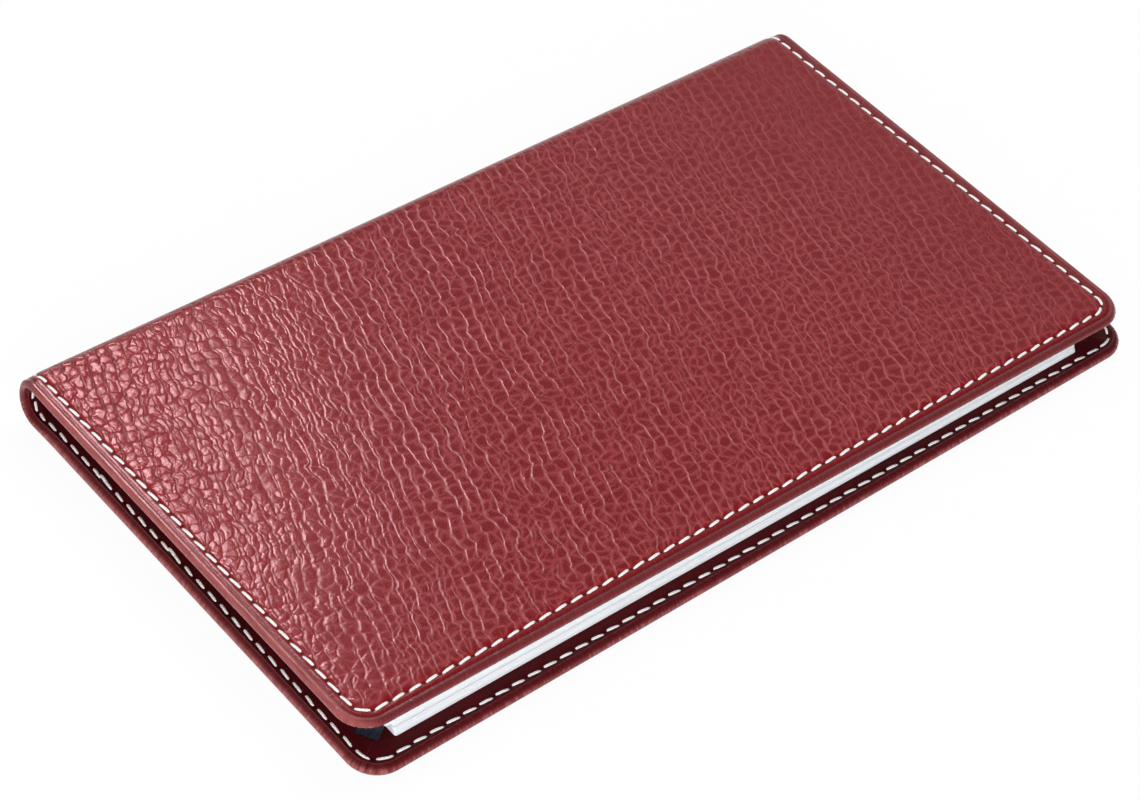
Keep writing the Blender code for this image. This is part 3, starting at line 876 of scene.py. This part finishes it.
    def backstitched(self):
        """Holes of the inner seam at the foot where the thread was sewn back over itself."""
        foot = [hole for hole in range(self.stitches)
                if self.on_seam(hole * self.pitch, 0).y < self.case.corner_radius - HALF_LENGTH]
        for place in self.SEWN_BACK:
            u = SPINE_X - HALF_ARC - place
            yield min(foot, key=lambda hole: abs(self.on_seam(hole * self.pitch, 0).x - u))

    def slices(self):
        """The hide's pieces: name, bounds across the flat sheet, bodies, and ends between which it bends."""
        middles = [-HALF_ARC + STRIP_WIDTH * (strip + 0.5) for strip in range(STRIPS)]
        bounds = [-HALF_ARC] + middles[1:-1] + [HALF_ARC]
        parts = [("back", -math.inf, -HALF_ARC, ["back_case"], None)]
        for index, (low, high) in enumerate(zip(bounds, bounds[1:])):
            bodies = [f"spine_strip_{index + 1}", f"spine_strip_{index + 2}"]
            ends = [self.fold(middles[index], 0, 0), self.fold(middles[index + 1], 0, 0)]
            parts.append((f"spine_{index + 1}", low, high, bodies, ends))
        parts.append(("front", HALF_ARC, math.inf, ["front_case"], None))
        return parts


def strips_of(name, kind):
    """CAD strips that a slice of the spine stands for; the slice before the middle takes two."""
    strip = int(name.rsplit("_", 1)[1])
    middle = (STRIPS + 1) // 2
    numbers = [strip, middle] if strip == middle - 1 else [strip + (strip >= middle)]
    return [f"spine_{kind}_{number}" for number in numbers]


def join(piece, bodies, ends):
    """Let a piece move with one body, or bend from one body to the next."""
    if ends is None:
        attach(piece, bodies[0])
    else:
        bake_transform(piece, bodies[0], bodies[1], start=tuple(ends[0]), end=tuple(ends[1]))


class CALENDAR_OT_hide(Operator):
    """Fold the grained leather round the leaves, with its turned and pleated edge"""

    bl_idname = "calendar.hide"
    bl_label = "Leather Hide"

    def execute(self, context):
        case = context.scene.calendar_case
        hide = Hide(case)
        finishes = [grained_leather(case), smooth_leather(case)]
        sheet = hide.sheet()
        hide.cut(sheet)
        for name, low, high, bodies, ends in hide.slices():
            piece = settle(hide.bend(hide.slice(sheet, low, high)), name + "_hide", finishes, 50)
            join(piece, bodies, ends)
            if ends is None:
                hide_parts(name + "_cover_leather")
            else:
                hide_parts(*strips_of(name, "leather"))
        sheet.free()
        return {"FINISHED"}


class CALENDAR_OT_lining(Operator):
    """Line the spine and the covers with smooth leather"""

    bl_idname = "calendar.lining"
    bl_label = "Lining and Pockets"
    LAP = 4 * MM

    def execute(self, context):
        case = context.scene.calendar_case
        hide = Hide(case)
        finish = bpy.data.materials["lining"]
        low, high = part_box("spine_lining_4")
        sheet = bmesh.new()
        size = (2 * HALF_ARC + self.LAP, high.y - low.y, high.x - low.x)
        block(sheet, (0, 0, SPINE_X - BEND - (low.x + high.x) / 2), size)
        hide.cut(sheet)
        for name, start, stop, bodies, ends in hide.slices():
            if ends is None:
                continue
            bm = hide.slice(sheet, start, stop)
            for vert in bm.verts:
                vert.co = hide.fold(vert.co.x, vert.co.y, -vert.co.z)
            bmesh.ops.recalc_face_normals(bm, faces=bm.faces)
            piece = settle(bm, name + "_inside", [finish])
            join(piece, bodies, ends)
            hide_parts(*strips_of(name, "lining"))
        sheet.free()
        for node in ("back_lining", "back_pocket"):
            dress(node, finish)
        for node in ("front_lining", "front_pocket"):
            eased_copy(node, node + "_panel", finish, case, "lining")
        return {"FINISHED"}


class CALENDAR_OT_seams(Operator):
    """Sew the case round its edge, outside and inside"""

    bl_idname = "calendar.seams"
    bl_label = "Seams"
    BACKSTITCH, ASIDE = 0.45, 0.2 * MM

    def execute(self, context):
        case = context.scene.calendar_case
        hide = Hide(case)
        finish = seam_thread(case)
        rng = random.Random(7)
        parts = hide.slices()
        groups = [bmesh.new() for _ in parts]
        for bm in groups:
            bm.verts.layers.float.new("twist")
        for hole in range(hide.stitches):
            u = hide.on_seam((hole + 0.5) * hide.pitch, case.seam_inset).x
            for bm, (_, low, high, _, _) in zip(groups, parts):
                if low <= u < high:
                    hide.stitch(bm, hole, False, rng)
                    hide.stitch(bm, hole, True, rng)
        for hole in hide.backstitched():
            hide.stitch(groups[0], hole + self.BACKSTITCH, True, rng, self.ASIDE)
        for bm, (name, _, _, bodies, ends) in zip(groups, parts):
            if not bm.verts:
                bm.free()
                continue
            bmesh.ops.recalc_face_normals(bm, faces=bm.faces)
            piece = settle(bm, name + "_stitches", [finish], 180)
            join(piece, bodies, ends)
        return {"FINISHED"}


class CALENDAR_OT_leaves(Operator):
    """Cut the leaves of every section and lay in the end cards"""

    bl_idname = "calendar.leaves"
    bl_label = "Leaves and Cards"
    FORE_SLIP, END_SLIP = (-0.07, 0.02), (-0.05, 0.02)
    LEAF_SHARE = 0.94

    def execute(self, context):
        case, insert = context.scene.calendar_case, context.scene.calendar_insert
        paper = ruled_paper(insert)
        card = fibrous("card", insert.card_color, 2.0, 0.05 * MM, 0.6)
        board = fibrous("board", insert.board_color, 0.8, 0.2 * MM, 0.85)
        rng = random.Random(11)
        for section in SECTIONS:
            low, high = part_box(section)
            step = (high.z - low.z) / insert.leaves
            bm = bmesh.new()
            for leaf in range(insert.leaves):
                fore = high.x + rng.uniform(*self.FORE_SLIP) * MM
                head, foot = (rng.uniform(*self.END_SLIP) * MM for _ in range(2))
                size = Vector((fore - low.x, high.y - low.y + head + foot, self.LEAF_SHARE * step))
                middle = Vector((
                    (fore + low.x) / 2, (high.y + low.y + head - foot) / 2, low.z + (leaf + 0.5) * step))
                made = block(bm, middle, size)
                corners = [
                    edge for edge in {link for vert in made for link in vert.link_edges}
                    if all(vert.co.x > middle.x for vert in edge.verts)
                    and abs(edge.verts[0].co.y - edge.verts[1].co.y) < 0.5 * size.y]
                bmesh.ops.bevel(
                    bm, geom=corners, offset=insert.corner_radius, segments=5, profile=0.5,
                    affect="EDGES", material=-1)
            eased_copy(section, section.replace("page_section", "leaves"), paper, case, "paper", bm)
        eased_copy("front_card", "front_end_card", card, case, "card")
        dress("back_card", card)
        dress("back_board", board)
        eased_copy("front_board", "front_stiffener", board, case, "board")
        return {"FINISHED"}


class CALENDAR_OT_ribbon(Operator):
    """Weave the marker ribbon and fray its end"""

    bl_idname = "calendar.ribbon"
    bl_label = "Marker Ribbon"
    STRANDS = 9
    STRAND_LENGTH, STRAND_THICKNESS = (0.3, 0.7), (0.4, 0.8)
    STRAND_SHARE, SWAY = 0.75, 0.14
    ROOT, TAIL = 0.25 * MM, 0.3 * MM

    def execute(self, context):
        case, insert = context.scene.calendar_case, context.scene.calendar_insert
        bm = copied("ribbon_marker")
        low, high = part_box("ribbon_marker")
        along = Vector((high.x - low.x, low.y - high.y, 0)).normalized()
        reach = max(vert.co.dot(along) for vert in bm.verts)
        tail = [vert.co.copy() for vert in bm.verts if reach - vert.co.dot(along) < self.TAIL]
        middle = sum(tail, Vector()) / len(tail)
        across = Vector((-along.y, along.x, 0))
        half = max((place - middle).dot(across) for place in tail)
        thick = max(place.z for place in tail) - min(place.z for place in tail)
        rng = random.Random(5)
        for strand in range(self.STRANDS):
            length = rng.uniform(*self.STRAND_LENGTH) * MM
            turn = math.atan2(along.y, along.x) + rng.uniform(-self.SWAY, self.SWAY)
            aside = across * half * ((2 * strand + 1) / self.STRANDS - 1)
            place = middle + aside + along * (length / 2 - self.ROOT)
            width = self.STRAND_SHARE * 2 * half / self.STRANDS
            block(bm, place, (length, width, thick * rng.uniform(*self.STRAND_THICKNESS)), turn)
        eased_copy("ribbon_marker", "ribbon", ribbon_weave(insert), case, "ribbon", bm)
        return {"FINISHED"}


class CALENDAR_OT_staples(Operator):
    """Give the staples their drawn steel"""

    bl_idname = "calendar.staples"
    bl_label = "Staples"

    def execute(self, context):
        steel = drawn_steel(context.scene.calendar_insert)
        for node in named("staple"):
            eased_copy(node, node.replace("staple", "wire"), steel, context.scene.calendar_case, "staple")
        return {"FINISHED"}


class CALENDAR_OT_stage(Operator):
    """Set the floor, the lamps and the camera"""

    bl_idname = "calendar.stage"
    bl_label = "Stage"
    FLOOR_REACH = 3.0
    FLOOR_DROP = 0.05 * MM
    WALL_HEIGHT = 0.5
    GLOW = 0.94
    SENSOR = 36
    # Each lamp's place, aim and size, and whether it gives gloss and plain light
    LAMPS = {
        "key": ((-0.208, -0.018, 0.223), (-0.03, -0.05, 0), 0.10, True, False),
        "over": ((-0.35, 0.45, 0.8), (0, 0.03, 0), 0.6, False, True),
        "side": ((-0.25, -0.32, 0.16), (-0.03, -0.06, 0), 0.2, False, True),
        "fill": ((0.75, -0.45, 0.42), (0, 0, 0), 0.7, False, True),
        "backdrop": ((-0.28, 0.40, 0.20), (0, 0.06, 0), 0.40, True, True),
    }

    def execute(self, context):
        scene, stage = context.scene, context.scene.calendar_stage
        scene.view_settings.view_transform = "Standard"
        scene.world = bpy.data.worlds.new("room")
        scene.world.use_nodes = True
        room = scene.world.node_tree.nodes["Background"]
        room.inputs["Color"].default_value = (1, 1, 1, 1)
        room.inputs["Strength"].default_value = stage.room_light
        finish = Finish("floor")
        finish.feed(Base_Color=stage.floor_color, Roughness=0.9, Specular_IOR_Level=0.0)
        rays = ("Is Camera Ray", "Is Glossy Ray", "Is Transmission Ray")
        seen = sum(finish.node("ShaderNodeLightPath", output=ray) for ray in rays)
        white = finish.node("ShaderNodeEmission", {}, {"Color": (1, 1, 1, 1), "Strength": 1.0})
        plain = Wire(finish, finish.shader.outputs[0])
        both = finish.node("ShaderNodeMixShader", {}, {0: seen * self.GLOW, 1: plain, 2: white})
        finish.plug(finish.tree.nodes["Material Output"].inputs["Surface"], both)
        bm = bmesh.new()
        bmesh.ops.create_grid(bm, x_segments=1, y_segments=1, size=self.FLOOR_REACH)
        walls = bmesh.ops.extrude_edge_only(bm, edges=bm.edges[:])["geom"]
        raised = [part for part in walls if isinstance(part, bmesh.types.BMVert)]
        bmesh.ops.translate(bm, vec=(0, 0, self.WALL_HEIGHT), verts=raised)
        bmesh.ops.translate(bm, vec=(0, 0, -self.FLOOR_DROP), verts=bm.verts)
        settle(bm, "floor", [finish.material])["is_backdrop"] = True
        for name, (place, aim, size, glossy, diffuse) in self.LAMPS.items():
            box = bpy.data.lights.new(name, "AREA")
            box.size = size
            box.energy = getattr(stage, name + "_power")
            lamp = link(name, box)
            lamp.visible_glossy = glossy
            lamp.visible_diffuse = diffuse
            lamp.location = place
            lamp.rotation_euler = (Vector(aim) - Vector(place)).to_track_quat("-Z", "Y").to_euler()
        lens = bpy.data.cameras.new("camera")
        lens.lens = stage.lens
        lens.sensor_width = self.SENSOR
        lens.clip_start = 0.01
        round_it = Matrix.Rotation(stage.azimuth, 4, "Z")
        over_it = Matrix.Rotation(math.pi / 2 - stage.elevation, 4, "X")
        back = Matrix.Translation((0, 0, stage.distance)) @ Matrix.Rotation(stage.roll, 4, "Z")
        scene.camera = link("camera", lens)
        scene.camera.matrix_world = Matrix.Translation(stage.target) @ round_it @ over_it @ back
        return {"FINISHED"}


OPERATORS = (
    CALENDAR_OT_hide, CALENDAR_OT_lining, CALENDAR_OT_seams, CALENDAR_OT_leaves, CALENDAR_OT_ribbon,
    CALENDAR_OT_staples, CALENDAR_OT_stage)


class CALENDAR_PT_case(Panel):
    """Buttons for the pieces of the calendar"""

    bl_idname = "CALENDAR_PT_case"
    bl_label = "Pocket Calendar"
    bl_space_type = "VIEW_3D"
    bl_region_type = "UI"
    bl_category = "Calendar"

    def draw(self, context):
        for operator in OPERATORS:
            self.layout.operator(operator.bl_idname)


SETTINGS = {
    "calendar_case": CaseSettings, "calendar_insert": InsertSettings, "calendar_stage": StageSettings}
CLASSES = (*SETTINGS.values(), *OPERATORS, CALENDAR_PT_case)


def register():
    for item in CLASSES:
        bpy.utils.register_class(item)
    for name, group in SETTINGS.items():
        setattr(bpy.types.Scene, name, PointerProperty(type=group))


def unregister():
    for name in SETTINGS:
        delattr(bpy.types.Scene, name)
    for item in reversed(CLASSES):
        bpy.utils.unregister_class(item)


def main():
    register()
    bpy.ops.calendar.hide()
    bpy.ops.calendar.lining()
    bpy.ops.calendar.seams()
    bpy.ops.calendar.leaves()
    bpy.ops.calendar.ribbon()
    bpy.ops.calendar.staples()
    bpy.ops.calendar.stage()
    boxes = {"cad": CAD_BOX, "visual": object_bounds()}
    {name: [list(corner) for corner in box] for name, box in boxes.items()}


if __name__ == "__main__":
    main()
